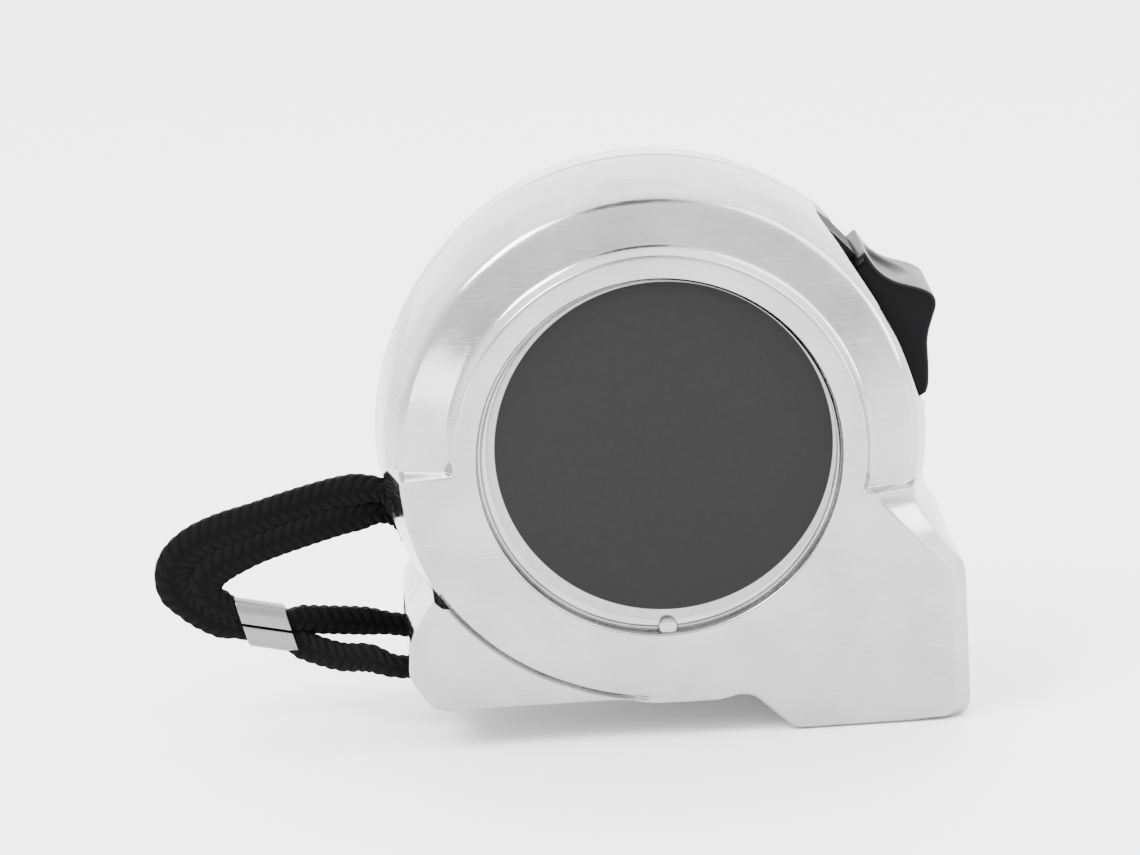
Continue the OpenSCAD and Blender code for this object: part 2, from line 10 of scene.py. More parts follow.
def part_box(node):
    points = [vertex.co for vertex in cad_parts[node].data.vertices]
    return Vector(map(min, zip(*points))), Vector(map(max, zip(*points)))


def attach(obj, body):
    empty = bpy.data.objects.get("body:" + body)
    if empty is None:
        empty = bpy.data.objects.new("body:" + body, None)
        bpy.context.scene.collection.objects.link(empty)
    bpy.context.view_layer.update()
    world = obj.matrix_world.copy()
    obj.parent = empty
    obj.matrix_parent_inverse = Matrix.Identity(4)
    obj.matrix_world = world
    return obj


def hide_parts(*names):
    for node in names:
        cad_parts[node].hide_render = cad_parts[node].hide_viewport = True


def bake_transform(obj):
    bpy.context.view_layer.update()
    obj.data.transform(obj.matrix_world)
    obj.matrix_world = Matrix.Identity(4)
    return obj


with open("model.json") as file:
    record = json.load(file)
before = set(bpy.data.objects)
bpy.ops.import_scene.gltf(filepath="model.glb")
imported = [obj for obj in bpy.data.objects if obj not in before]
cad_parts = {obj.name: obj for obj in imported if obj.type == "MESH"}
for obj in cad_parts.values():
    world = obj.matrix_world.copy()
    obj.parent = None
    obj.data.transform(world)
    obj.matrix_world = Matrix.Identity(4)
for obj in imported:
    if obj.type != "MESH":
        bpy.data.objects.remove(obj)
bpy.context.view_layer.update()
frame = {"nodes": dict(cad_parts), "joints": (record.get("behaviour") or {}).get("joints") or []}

# ------------------------------------------------------------------ places and sizes, from the frame
# Everything below is in mm from the spindle, where x is to the nose, y to the rear and z up.
MM = 0.001
AXIS = Vector(next(j for j in frame["joints"] if j["name"] == "reel_spin")["pos_m"])


def place(x, y, z):
    """A point given in mm from the middle of the spindle, in metres in the row frame."""
    return AXIS + Vector((x, y, z)) * MM


def low(node):
    """A CAD node's lowest corner, in mm from the spindle."""
    return (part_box(node)[0] - AXIS) / MM


def high(node):
    """A CAD node's highest corner, in mm from the spindle."""
    return (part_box(node)[1] - AXIS) / MM


# The case's outside
DRUM_R = -low("front_shell").x
DEPTH = -low("front_shell").y
NOSE_X = high("front_shell").x
NOSE_Z = -low("front_shell").z
SOLE_Z = NOSE_Z - 5.2           # the foot's sole, above the nose's
BELLY_Z = SOLE_Z + 0.9          # the drum's level underside between the two
RIM_R = DRUM_R - 2.55
RIM_DEPTH = 12.89               # how far the rounded rim is from the parting face
FOOT_DEPTH = 15.9               # and the foot's face, which is set back from the drum's
PARTING = 0.07                  # half the seam between the two shells
SEAM_LIP = 0.24                 # where each shell's wall turns into the seam

# The label's recess, its key and the ring round it
LABEL_SEAT = -high("front_label").y
RECESS_R = high("front_label").x + 0.9
RING_R = RECESS_R + 3.08
KEY_R = 1.2
KEY_Z = -RECESS_R + 0.7
NOTCH_R = KEY_R + 0.3
PRINT_R = 21.0
LABEL_SHIFT = Vector((0.3, 0, 0.55))          # how far the front label sits off the spindle
PRINT_SHIFT = Vector((0.6, 0, 1.15))          # and its dark print

# The hollow inside, the blade's way out and the strap
BAY_R = high("reel").x + 4.1
BAY_HALF = high("strap_pin").y
BLADE_HALF = high("tape_blade").y
MOUTH_HALF = BLADE_HALF + 0.8
MOUTH_TOP = high("mouth_bumper").z - 2.4
FLOOR_Z = low("mouth_plate").z
PIN = (low("strap_pin") + high("strap_pin")) / 2
CORD_W = 3.0
CORD_T = 1.9
BRAID_W = 3.8                   # width of a free cord's braid on the loop's lower side

# ------------------------------------------------------------------ camera
# A long lens from the front, a little above and to the left
camera_data = bpy.data.cameras.new("camera")
camera_data.sensor_width = 36
camera_data.lens = 179.88
camera = bpy.data.objects.new("camera", camera_data)
bpy.context.scene.collection.objects.link(camera)
bpy.context.scene.camera = camera
AZIMUTH, ELEVATION, ROLL = (math.radians(a) for a in (-2.372, 15.071, -3.093))
camera.location = place(-38.946, -693.371, 187.087)
camera.matrix_world = Matrix.Translation(camera.location) @ (
    Matrix.Rotation(AZIMUTH, 4, "Z")
    @ Matrix.Rotation(math.pi / 2 - ELEVATION, 4, "X")
    @ Matrix.Rotation(ROLL, 4, "Z")
)
camera_data.clip_start = 0.02
camera_data.clip_end = 50


# ------------------------------------------------------------------ material helpers
def add(tree, kind, settings=None, **inputs):
    """Adds a node. An input is named, or numbered as i0, and takes a value or another node's output."""
    node = tree.nodes.new(kind)
    for key, value in (settings or {}).items():
        setattr(node, key, value)
    for key, value in inputs.items():
        by_index = key[0] == "i" and key[1:].isdigit()
        socket = node.inputs[int(key[1:]) if by_index else key.replace("_", " ")]
        if isinstance(value, bpy.types.NodeSocket):
            tree.links.new(value, socket)
        else:
            socket.default_value = value
    return node


def new_material(name, colour, metallic=0.0, roughness=0.5, **more):
    """A material with its shader, and the tree and object coordinates that its detail is built from."""
    made = bpy.data.materials.new(name)
    made.use_nodes = True
    tree = made.node_tree
    tree.nodes.clear()
    shader = add(tree, "ShaderNodeBsdfPrincipled", Metallic=metallic, Roughness=roughness, **more)
    shader.inputs["Base Color"].default_value = (*colour, 1)
    out = add(tree, "ShaderNodeOutputMaterial")
    tree.links.new(shader.outputs[0], out.inputs[0])
    where = add(tree, "ShaderNodeTexCoord").outputs["Object"]
    return made, tree, shader, where


def noise(tree, where, scale, detail=2.0, stretch=(1, 1, 1), turn=(0, 0, 0)):
    """Noise from 0 to 1, with scale in cells per metre, stretched along its own axes."""
    cells = [scale * s for s in stretch]
    mapped = add(tree, "ShaderNodeMapping", Vector=where, Rotation=turn, Scale=cells)
    made = add(tree, "ShaderNodeTexNoise", Vector=mapped.outputs[0], Scale=1.0, Detail=detail)
    return made.outputs[0]


def remap(tree, value, from_low, from_high, to_low, to_high):
    """Carries one range of values to another, and holds it at the ends."""
    made = add(tree, "ShaderNodeMapRange", i0=value, i1=from_low, i2=from_high, i3=to_low, i4=to_high)
    return made.outputs[0]


def math_node(tree, operation, a, b=0.0):
    """One sum on numbers or outputs."""
    return add(tree, "ShaderNodeMath", {"operation": operation}, i0=a, i1=b).outputs[0]


def vector_node(tree, operation, a, b=(0, 0, 0)):
    """One sum on vectors; a length or a dot product comes out of its second output."""
    return add(tree, "ShaderNodeVectorMath", {"operation": operation}, i0=a, i1=b).outputs


def mix(tree, share, a, b):
    """Mixes two colours. Inputs 0, 6 and 7 are the mix node's share and its two colours."""
    node = add(tree, "ShaderNodeMix", {"data_type": "RGBA"})
    for index, value in ((0, share), (6, a), (7, b)):
        if isinstance(value, bpy.types.NodeSocket):
            tree.links.new(value, node.inputs[index])
        else:
            node.inputs[index].default_value = value if index == 0 else (*value, 1)
    return node.outputs[2]


def bump(tree, shader, height, distance, strength=1.0):
    """Raises the surface by a height from 0 to 1 times a distance in metres."""
    made = add(tree, "ShaderNodeBump", Height=height, Distance=distance, Strength=strength)
    tree.links.new(made.outputs[0], shader.inputs["Normal"])


def feed(tree, value, shader, name):
    """Links an output to one of the shader's inputs."""
    tree.links.new(value, shader.inputs[name])


def scratches(tree, where, turn, density):
    """Sparse straight hairlines, 1 on a line and 0 elsewhere."""
    lines = noise(tree, where, 260, 3.0, (1, 1, 34), turn)
    sharp = remap(tree, lines, density, density + 0.05, 0, 1)
    patches = noise(tree, where, 160, 1.0, (1, 1, 1.6), turn)
    gate = remap(tree, patches, 0.45, 0.62, 0, 1)
    return math_node(tree, "MULTIPLY", sharp, gate)


# ------------------------------------------------------------------ materials
def make_chrome():
    """Chrome plating with fine handling scratches and a slight haze."""
    made, tree, shader, where = new_material("chrome_plating", (0.37, 0.37, 0.374), 1.0, 0.14)
    haze = noise(tree, where, 110, 5.0)
    marks = scratches(tree, where, (0.3, 0.5, 0.2), 0.63)
    turns = [(0.1, 1.2, 0.6), (0.8, -0.6, 0.1), (0.2, 2.2, -0.4), (0.5, 1.75, 1.3), (1.1, 0.9, -0.8)]
    for turn in turns:
        marks = math_node(tree, "MAXIMUM", marks, scratches(tree, where, turn, 0.635))
    rough = remap(tree, haze, 0.3, 0.7, 0.08, 0.22)
    rougher = math_node(tree, "MULTIPLY", marks, 0.15)
    feed(tree, math_node(tree, "ADD", rough, rougher), shader, "Roughness")
    cloud = remap(tree, haze, 0.32, 0.68, 0, 1)
    plate = mix(tree, cloud, (0.32, 0.32, 0.324), (0.41, 0.41, 0.414))
    lighter = math_node(tree, "MULTIPLY", marks, 0.45)
    feed(tree, mix(tree, lighter, plate, (0.56, 0.56, 0.56)), shader, "Base Color")
    waves = math_node(tree, "MULTIPLY", noise(tree, where, 70, 2.0), 1.6)
    height = math_node(tree, "SUBTRACT", waves, math_node(tree, "MULTIPLY", marks, 0.04))
    bump(tree, shader, height, 0.00004)
    return made


def make_metal(name, colour, roughness, grain=(1, 1, 1), fine=900):
    """Plated, ground or brushed metal: grain stretches its fine lines, fine is their cells per metre."""
    made, tree, shader, where = new_material(name, colour, 1.0, roughness)
    lines = noise(tree, where, fine, 3.0, grain)
    feed(tree, remap(tree, lines, 0.3, 0.7, roughness - 0.06, roughness + 0.08), shader, "Roughness")
    cloud = noise(tree, where, 120, 3.0)
    dark = [c * 0.86 for c in colour]
    feed(tree, mix(tree, cloud, dark, colour), shader, "Base Color")
    bump(tree, shader, lines, 0.00002)
    return made


def make_plastic(name, colour, roughness, grain=0.00002, shine=0.5):
    """Moulded plastic or rubber: grain is its texture's height in metres, shine its specular level."""
    made, tree, shader, where = new_material(name, colour, 0.0, roughness, Specular_IOR_Level=shine)
    fine = noise(tree, where, 2600, 3.0)
    cloud = noise(tree, where, 110, 3.0)
    light = [min(1, c * 1.35 + 0.0008) for c in colour]
    feed(tree, mix(tree, cloud, colour, light), shader, "Base Color")
    feed(tree, remap(tree, cloud, 0.3, 0.7, roughness - 0.04, roughness + 0.06), shader, "Roughness")
    bump(tree, shader, fine, grain)
    return made


def make_label(centre):
    """A printed disc: dark inside a pale border, round the print's own centre."""
    made, tree, shader, where = new_material(
        "printed_label", (0.02, 0.02, 0.02), 0.0, 0.6, Specular_IOR_Level=0.05
    )
    blur = 0.06
    away = vector_node(tree, "SUBTRACT", where, centre)[0]
    flat = vector_node(tree, "MULTIPLY", away, (1, 0, 1))[0]
    far = vector_node(tree, "LENGTH", flat)[1]
    edge = remap(tree, far, (PRINT_R - blur) * MM, (PRINT_R + blur) * MM, 0, 1)
    fleck = noise(tree, where, 1500, 3.0)
    ink = mix(tree, fleck, (0.0145, 0.0145, 0.0145), (0.0175, 0.0175, 0.0175))
    paper = mix(tree, fleck, (0.3, 0.3, 0.3), (0.4, 0.4, 0.4))
    feed(tree, mix(tree, edge, ink, paper), shader, "Base Color")
    feed(tree, remap(tree, fleck, 0.3, 0.7, 0.42, 0.55), shader, "Roughness")
    bump(tree, shader, fleck, 0.00001)
    return made


def make_braid():
    """Black polyester yarn with fine fibres and a soft sheen; painted shade darkens its colour between the
    plaits.
    """
    made, tree, shader, where = new_material(
        "black_yarn", (0.006, 0.006, 0.007), 0.0, 0.7,
        Sheen_Weight=0.012, Sheen_Roughness=0.4, Specular_IOR_Level=0.05,
    )
    fibre = noise(tree, where, 2200, 4.0, (1, 0.6, 3.2), (0, 0.5, 0))
    # Painted shade: the plait attribute darkens the base colour in the hollows between the plaits
    painted_plait_shade = add(tree, "ShaderNodeAttribute", {"attribute_name": "plait"}).outputs["Fac"]
    lit = math_node(tree, "MULTIPLY", painted_plait_shade, remap(tree, fibre, 0.3, 0.7, 0.6, 1.0))
    feed(tree, mix(tree, lit, (0.0006, 0.0006, 0.0007), (0.0032, 0.0032, 0.0035)), shader, "Base Color")
    feed(tree, remap(tree, fibre, 0.3, 0.7, 0.5, 0.8), shader, "Roughness")
    bump(tree, shader, fibre, 0.0001, 0.7)
    return made


def make_blade_paint():
    """Yellow blade enamel with millimetre and centimetre marks, and no figures."""
    made, tree, shader, where = new_material("blade_enamel", (0.86, 0.6, 0.03), 0.0, 0.32)
    x, y, _ = add(tree, "ShaderNodeSeparateXYZ", i0=where).outputs
    side = math_node(tree, "ABSOLUTE", math_node(tree, "SUBTRACT", y, AXIS.y))

    def marks(pitch, width, reach):
        """Cross lines of a pitch and width, from the blade's edge inwards by reach, in mm."""
        along = math_node(tree, "DIVIDE", math_node(tree, "ADD", x, 1.0), pitch * MM)
        share = math_node(tree, "FRACT", along)
        line = math_node(tree, "LESS_THAN", share, width / pitch)
        edge = math_node(tree, "GREATER_THAN", side, (BLADE_HALF - reach) * MM)
        return math_node(tree, "MULTIPLY", line, edge)

    ink = math_node(tree, "MAXIMUM", marks(1, 0.18, 3.2), marks(5, 0.22, 4.6))
    ink = math_node(tree, "MAXIMUM", ink, marks(10, 0.3, 7.2))
    cloud = noise(tree, where, 160, 2.0)
    paint = mix(tree, cloud, (0.80, 0.53, 0.02), (0.9, 0.66, 0.05))
    feed(tree, mix(tree, ink, paint, (0.012, 0.012, 0.012)), shader, "Base Color")
    feed(tree, remap(tree, cloud, 0.3, 0.7, 0.27, 0.38), shader, "Roughness")
    return made


chrome = make_chrome()
front_print = make_label(place(PRINT_SHIFT.x, 0, PRINT_SHIFT.z))
rear_print = front_print.copy()
zinc = make_metal("zinc_plate", (0.66, 0.66, 0.66), 0.3)
steel = make_metal("ground_steel", (0.58, 0.58, 0.59), 0.32, (1, 0.1, 1))
nickel = make_metal("nickel_plate", (0.64, 0.63, 0.61), 0.26, (1, 1, 0.15))
clip_steel = make_metal("bright_clip_steel", (0.7, 0.7, 0.71), 0.22, (1, 1, 0.08))
blued = make_metal("blued_spring_steel", (0.2, 0.22, 0.28), 0.3)
aluminium = make_metal("satin_aluminium", (0.22, 0.22, 0.224), 0.36, (1, 1, 0.2), 1500)
white_plastic = make_plastic("white_nylon", (0.8, 0.8, 0.78), 0.45)
dark_plastic = make_plastic("dark_moulding", (0.006, 0.006, 0.0065), 0.42, 0.00002, 0.12)
gloss_black = make_plastic("gloss_black_moulding", (0.0022, 0.0022, 0.0025), 0.26, 0.000004, 0.045)
rubber = make_plastic("matt_rubber", (0.008, 0.008, 0.008), 0.8, 0.00006, 0.2)
yarn = make_braid()
enamel = make_blade_paint()


# ------------------------------------------------------------------ mesh helpers
def build(name, points, faces, material, body, slot, *replaced, sharp=32):
    """A piece from points in mm from the spindle, riding on a body and standing for CAD nodes."""
    mesh = bpy.data.meshes.new(name)
    mesh.from_pydata([place(*p) for p in points], [], faces)
    mesh.validate()
    piece = bpy.data.objects.new(name, mesh)
    bpy.context.scene.collection.objects.link(piece)
    if material:
        finish_piece(piece, material, body, slot, *replaced, sharp=sharp)
    return piece


def solid(name, points, faces):
    """A closed shape that is still to be cut, joined on or finished."""
    made = build(name, points, faces, None, None, None)
    outward(made.data)
    return made


def finish_piece(piece, material, body, slot, *replaced, sharp=32):
    """Gives a piece its material, its body and the CAD nodes that it stands for; slot is not used."""
    piece.data.materials.clear()
    piece.data.materials.append(material)
    outward(piece.data)
    piece.data.shade_smooth()
    piece.data.set_sharp_from_angle(angle=math.radians(sharp))
    if body:
        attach(piece, body)
    if replaced:
        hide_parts(*replaced)


def outward(mesh):
    """Makes every face look outwards."""
    made = bmesh.new()
    made.from_mesh(mesh)
    bmesh.ops.recalc_face_normals(made, faces=made.faces)
    made.to_mesh(mesh)
    made.free()


def apply_modifiers(piece):
    """Turns what a piece's modifiers show into its own mesh."""
    bpy.context.view_layer.update()
    shown = piece.evaluated_get(bpy.context.evaluated_depsgraph_get())
    mesh = bpy.data.meshes.new_from_object(shown)
    piece.modifiers.clear()
    piece.data = mesh


def boolean(piece, tool, operation="DIFFERENCE"):
    """Cuts a tool out of a piece, or joins it on, and removes the tool."""
    made = piece.modifiers.new("boolean", "BOOLEAN")
    made.object = tool
    made.operation = operation
    made.solver = "MANIFOLD"
    apply_modifiers(piece)
    bpy.data.objects.remove(tool)


def bevel(piece, width, segments=3, angle=30):
    """Rounds a piece's edges."""
    made = piece.modifiers.new("bevel", "BEVEL")
    made.width = width * MM
    made.segments = segments
    made.limit_method = "ANGLE"
    made.angle_limit = math.radians(angle)
    made.use_clamp_overlap = True
    made.harden_normals = False
    apply_modifiers(piece)


def grid(rows, columns, closed=False):
    """Faces of a grid of points, row by row; closed joins the last column to the first."""
    faces = []
    for r in range(rows - 1):
        for c in range(columns if closed else columns - 1):
            n = (c + 1) % columns
            here, above = r * columns, (r + 1) * columns
            faces.append((here + c, here + n, above + n, above + c))
    return faces


def tube(rows, columns):
    """Faces of rows of points that close into rings, with both ends capped."""
    last = (rows - 1) * columns
    return grid(rows, columns, closed=True) + [tuple(range(columns)), tuple(range(last, last + columns))]


def prism(outline, y_from, y_to):
    """A solid tool: an outline of (x, z) points, carried along the depth."""
    n = len(outline)
    points = [(x, y_from, z) for x, z in outline] + [(x, y_to, z) for x, z in outline]
    faces = [tuple(range(n)), tuple(reversed(range(n, 2 * n)))]
    faces += [(i, i + n, (i + 1) % n + n, (i + 1) % n) for i in range(n)]
    return solid("tool", points, faces)


def circle(radius, x=0.0, z=0.0, sides=96):
    """The (x, z) points of a circle."""
    return [
        (x + radius * math.cos(math.tau * i / sides), z + radius * math.sin(math.tau * i / sides))
        for i in range(sides)
    ]


def rod(radius, y_from, y_to, x=0.0, z=0.0, sides=96):
    """A round tool along the depth."""
    return prism(circle(radius, x, z, sides), y_from, y_to)


def box(x0, x1, y0, y1, z0, z1):
    """A rectangular tool."""
    return prism([(x0, z0), (x1, z0), (x1, z1), (x0, z1)], y0, y1)


def polar(radius, degrees):
    """An (x, z) point from its radius and its direction about the spindle."""
    return radius * math.cos(math.radians(degrees)), radius * math.sin(math.radians(degrees))


def arc_tool(r_in, r_out, a_from, a_to, half):
    """A curved bar about the spindle."""
    steps = 24
    angles = [a_from + (a_to - a_from) * i / steps for i in range(steps + 1)]
    outline = [polar(r_out, a) for a in angles] + [polar(r_in, a) for a in reversed(angles)]
    return prism(outline, -half, half)


def smoothstep(t):
    """Eases from 0 to 1, and holds beyond them."""
    t = min(1.0, max(0.0, t))
    return t * t * (3 - 2 * t)


def lerp(a, b, t):
    """The value a share t of the way from a to b."""
    return a + (b - a) * t


# ------------------------------------------------------------------ strap
# The two cords' routes, from the strap's pin, as they lie
STRAP_OUTER = [
    (2.6, -1.8, -2.8), (3.9, -1.8, -1.4), (3.5, -1.8, 0.6), (1.8, -1.8, 3.2), (-0.5, -1.8, 6.4),
    (-2.2, -1.7, 9.8), (-3.4, -1.4, 13), (-5.2, -1, 15.6), (-8.7, -0.5, 15.9), (-12.7, 0, 15.2),
    (-19.2, 0, 13.6), (-25.8, 0, 11.6), (-29.8, 0, 9.9), (-32.2, 0, 7.6), (-32.6, 0, 4.8), (-31, 0, 2),
    (-28.2, 0, -0.1), (-25.2, 0, -1.4), (-22.4, 0, -2.2), (-19.2, 0, -3.1), (-15.6, -0.8, -4.6),
    (-12, -2.2, -5.5), (-8.6, -3.8, -5.4), (-5.8, -5, -6.2), (-2.8, -5.2, -6.5), (-0.6, -4.6, -6),
    (1, -3.6, -5.1),
]
STRAP_INNER = [
    (2.6, 1.8, -2.8), (3.9, 1.8, -1.4), (3.5, 1.8, 0.6), (1.8, 1.8, 3.2), (-0.5, 1.8, 6.4),
    (-2.1, 1.7, 9.2), (-3.8, 1.2, 11.6), (-6.2, 0.5, 12.5), (-9.2, 0.2, 12.3), (-12.7, 0, 11.6),
    (-19.2, 0, 9.8), (-24, 0, 8.2), (-27, 0, 6.8), (-28.6, 0, 5.1), (-28.4, 0, 3.1), (-26.7, 0, 1.7),
    (-24.6, 0, 0.7), (-22.2, 0, 0.1), (-19.2, 0, -0.6), (-15.6, 0.5, -1.1), (-12, 1.4, -1.7),
    (-8.6, 2.2, -2.3), (-5.6, 2.8, -3), (-2.8, 3, -3.6), (-0.6, 2.9, -4), (1, 2.6, -3.9),
]
CRIMP_X = -24.8                 # the crimp's outer end, from the pin
CRIMP_LENGTH = 6.4
CRIMP_MIDDLE = (-21.2, 0, -1.3)
CRIMP_TILT = math.radians(12.5)


def smooth_path(points, step):
    """A Catmull-Rom curve through points, resampled at an even step, and its length."""
    points = [Vector(p) for p in points]
    ends = [2 * points[0] - points[1]] + points + [2 * points[-1] - points[-2]]
    dense, parts = [], 40
    for a, b, c, d in zip(ends, ends[1:], ends[2:], ends[3:]):
        for i in range(parts):
            t = i / parts
            dense.append(0.5 * (2 * b + (c - a) * t + (2 * a - 5 * b + 4 * c - d) * t * t
                                + (3 * b - a - 3 * c + d) * t * t * t))
    dense.append(points[-1])
    lengths = np.concatenate([[0], np.cumsum([(q - p).length for p, q in zip(dense, dense[1:])])])
    count = max(2, round(lengths[-1] / step))
    at = np.linspace(0, lengths[-1], count + 1)
    xs, ys, zs = (np.interp(at, lengths, [p[k] for p in dense]) for k in range(3))
    return [Vector(p) for p in zip(xs, ys, zs)], lengths[-1]


def strap_cord(name, route, node):
    """One flat braided cord: a tube whose surface is four columns of leaning plaits."""
    sides, step, pitch, lobe, lean = 48, 0.1, 1.35, 0.27, 0.62
    path, total = smooth_path(route, step)
    rows = len(path)
    points, painted_plait_shade = [], []
    for i, centre in enumerate(path):
        ahead, behind = path[min(i + 1, rows - 1)], path[max(i - 1, 0)]
        tangent = (ahead - behind).normalized()
        wide = tangent.cross(Vector((0, 1, 0))).normalized()
        thick = wide.cross(tangent)
        # Squeezed where the crimp holds it, on the loop's lower side
        inside = min(centre.x - CRIMP_X + 0.4, CRIMP_X + CRIMP_LENGTH + 0.2 - centre.x)
        squeeze = smoothstep(inside / 2.2 + 0.7) if centre.z < 2.5 else 0
        # Spread where it is free, more on the loop's upper side and most at the far bend
        spread = smoothstep((-5.2 - centre.x) / 4)
        loop = spread * smoothstep((centre.z - 1.5) / 2.5)
        bend = smoothstep((-21 - centre.x) / 6)
        free = lerp(CORD_W / 2, BRAID_W / 2, spread) + (0.2 + 0.3 * bend) * loop
        half_w = lerp(free, 1.3, squeeze)
        half_t = CORD_T / 2 * lerp(1, 1.12, squeeze)
        height = lobe * lerp(1, 0.3, squeeze) * lerp(1, 0.6, loop)
        run = i * total / (rows - 1)
        for k in range(sides):
            turn = math.tau * (k + 0.5) / sides
            column, share = divmod(turn / (math.pi / 2), 1)
            across = 2 * share - 1
            odd = int(column) % 2
            slant = (lean if odd else -lean) * across
            phase = run / pitch + slant + 0.5 * odd
            plait = abs(math.cos(math.pi * phase)) ** 0.6 * (1 - abs(across) ** 4)
            side = math.copysign(abs(math.cos(turn)) ** 0.8, math.cos(turn))
            front = math.copysign(abs(math.sin(turn)) ** 0.7, math.sin(turn))
            swell = height * (plait - 0.8)
            painted_plait_shade.append(plait)
            out = wide * side * (half_w + swell) + thick * front * (half_t + swell)
            points.append(PIN + centre + out)
    faces = grid(rows, sides, closed=True)
    faces += [tuple(range(sides - 1, -1, -1)), tuple(range((rows - 1) * sides, rows * sides))]
    piece = build(name, points, faces, yarn, "case", "black_braid", node, sharp=70)
    # Each point's plait height, kept as an attribute for the yarn's painted shade between the plaits
    piece.data.attributes.new("plait", "FLOAT", "POINT").data.foreach_set("value", painted_plait_shade)
    line, _ = smooth_path(route, 1.0)


def strap_crimp():
    """The aluminium C round both cords, its seam to the front and its ends cut on the slant."""
    reach, wall, half_z, seam, slant = 1.22, 0.42, 1.35, 0.16, -0.5
    steps = 20

    def section(grow):
        """Half a round at the bottom and half at the top, open along the front."""
        r = reach + grow
        turns = [math.pi * k / steps for k in range(steps + 1)]
        bottom = [(-r * math.cos(t), -half_z - r * math.sin(t)) for t in turns]
        top = [(y, -z) for y, z in reversed(bottom)]
        return [(-r, -seam), (-r, -seam - 0.3)] + bottom + top + [(-r, seam + 0.3), (-r, seam)]

    ring = section(wall) + section(0)[::-1]
    along = Vector((math.cos(CRIMP_TILT), 0, -math.sin(CRIMP_TILT)))
    up = Vector((math.sin(CRIMP_TILT), 0, math.cos(CRIMP_TILT)))
    middle = PIN + Vector(CRIMP_MIDDLE)
    rows, n = 24, len(ring)
    points = []
    for i in range(rows + 1):
        share = i / rows - 0.5
        for y, z in ring:
            run = CRIMP_LENGTH * share + slant * z
            points.append(middle + along * run + Vector((0, y, 0)) + up * z)
    faces = grid(rows + 1, n, closed=True)
    for row in (0, rows):
        for k in range(n // 2 - 1):
            faces.append((row * n + k, row * n + k + 1, row * n + n - 2 - k, row * n + n - 1 - k))
    piece = solid("strap_crimp", points, faces)
    bevel(piece, 0.09, 2, 50)
    finish_piece(piece, aluminium, "case", "crimp_aluminium", "strap_clamp")


strap_cord("strap_outer_braid", STRAP_OUTER, "strap_outer")
strap_cord("strap_inner_braid", STRAP_INNER, "strap_inner")
strap_crimp()


# ------------------------------------------------------------------ case shells
def rounded(outline, size):
    """An open outline of (x, z) points with its inner corners rounded."""
    out, parts = [outline[0]], 6
    for before, corner, after in zip(outline, outline[1:], outline[2:]):
        b, c, a = Vector(before), Vector(corner), Vector(after)
        reach = min(size, 0.45 * (b - c).length, 0.45 * (a - c).length)
        p, q = c + (b - c).normalized() * reach, c + (a - c).normalized() * reach
        for i in range(parts + 1):
            t = i / parts
            out.append(tuple(p * (1 - t) ** 2 + c * 2 * t * (1 - t) + q * t * t))
    return out + [outline[-1]]


def ray_hit(outline, degrees):
    """How far along a direction from the spindle an outline of (x, z) points is crossed last."""
    ux, uz = polar(1, degrees)
    far, slack = 0.0, 1e-6
    for (x0, z0), (x1, z1) in zip(outline, outline[1:]):
        dx, dz = x1 - x0, z1 - z0
        cross = ux * dz - uz * dx
        if abs(cross) > 1e-9:
            share, reach = (x0 * uz - z0 * ux) / cross, (x0 * dz - z0 * dx) / cross
            if -slack <= share <= 1 + slack:
                far = max(far, reach)
    return far


# Outlines of the foot and the nose, as open runs of (x, z) points
FOOT_EDGE = rounded([
    (-27.4, -14.3), (-32.3, -21.8), (-32.6, -26.6), (-29.8, -30.8), (-28.1, -SOLE_Z), (8, -SOLE_Z)], 1.2)
NOSE_INNER = rounded([
    (26.2, -3.6), (26.7, -4.7), (27.1, -6.6), (29.3, -9.9), (35.75, -16.9), (35.7, -17.6), (35.6, -34.4),
    (34.6, -35.9), (15.6, -35.9), (10.4, -31.1), (5, -30.9), (0, -30.9)], 0.8)
NOSE_OUTER = rounded([
    (31.8, -3.6), (31.4, -5.2), (31.3, -6.1), (31.9, -9.3), (34.4, -13.1), (37.3, -16.2), (NOSE_X, -17.5),
    (NOSE_X, -34.4), (37.2, -35.9), (36, -NOSE_Z), (15.4, -NOSE_Z), (10.2, -31.6), (5, -31.4),
    (0, -31.4)], 0.9)
NOSE_PARTING = rounded([
    (34.7, -2), (34.6, -4), (34.6, -6), (33.9, -9.6), (34.8, -11.7), (35.6, -12.5), (36.7, -15.1),
    (NOSE_X, -18.5), (NOSE_X, -34.9), (37.2, -35.9), (36, -NOSE_Z), (15.4, -NOSE_Z), (10.2, -31.6),
    (5, -31.4), (0, -31.4)], 0.9)

# Directions from the spindle, in degrees: the ends of the crown's bevel, the nose and the foot
LEDGE_REAR = 181.4
LEDGE_NOSE = 349.4
NOSE_FROM = 285.6
FOOT_FROM, FOOT_TO = 207, 272

# A shell's surface is a set of rows, each with a radius, a distance from the parting face and the
# size of its rounding. The rows run from the recess, over the face, to the parting face.
WALL_ROW = (34.0, 8.25, 3)
RIM_ROWS = [WALL_ROW, (DRUM_R, SEAM_LIP, 0.08)]
RECESS_ROWS = [(RECESS_R - 0.75, LABEL_SEAT, 0.2), (RECESS_R - 0.45, LABEL_SEAT - 0.28, 0.1),
               (RECESS_R - 0.2, LABEL_SEAT - 0.2, 0.1), (RECESS_R + 0.05, DEPTH, 0.3)]


def crown_rows():
    """Above the ledges: the ring's step, the wide bevel and the rounded rim."""
    slope = [(r, lerp(15.3, RIM_DEPTH, (r - 25.95) / 6.3), 0.4) for r in (27.5, 28.8, 30.2)]
    return [(RING_R - 0.15, DEPTH, 0.35), (RING_R + 0.6, 15.1, 0.8), *slope, (RIM_R, RIM_DEPTH, 1.5),
            (33.0, 10.9, 0.5), *RIM_ROWS, (DRUM_R - 0.6, PARTING, 0)]


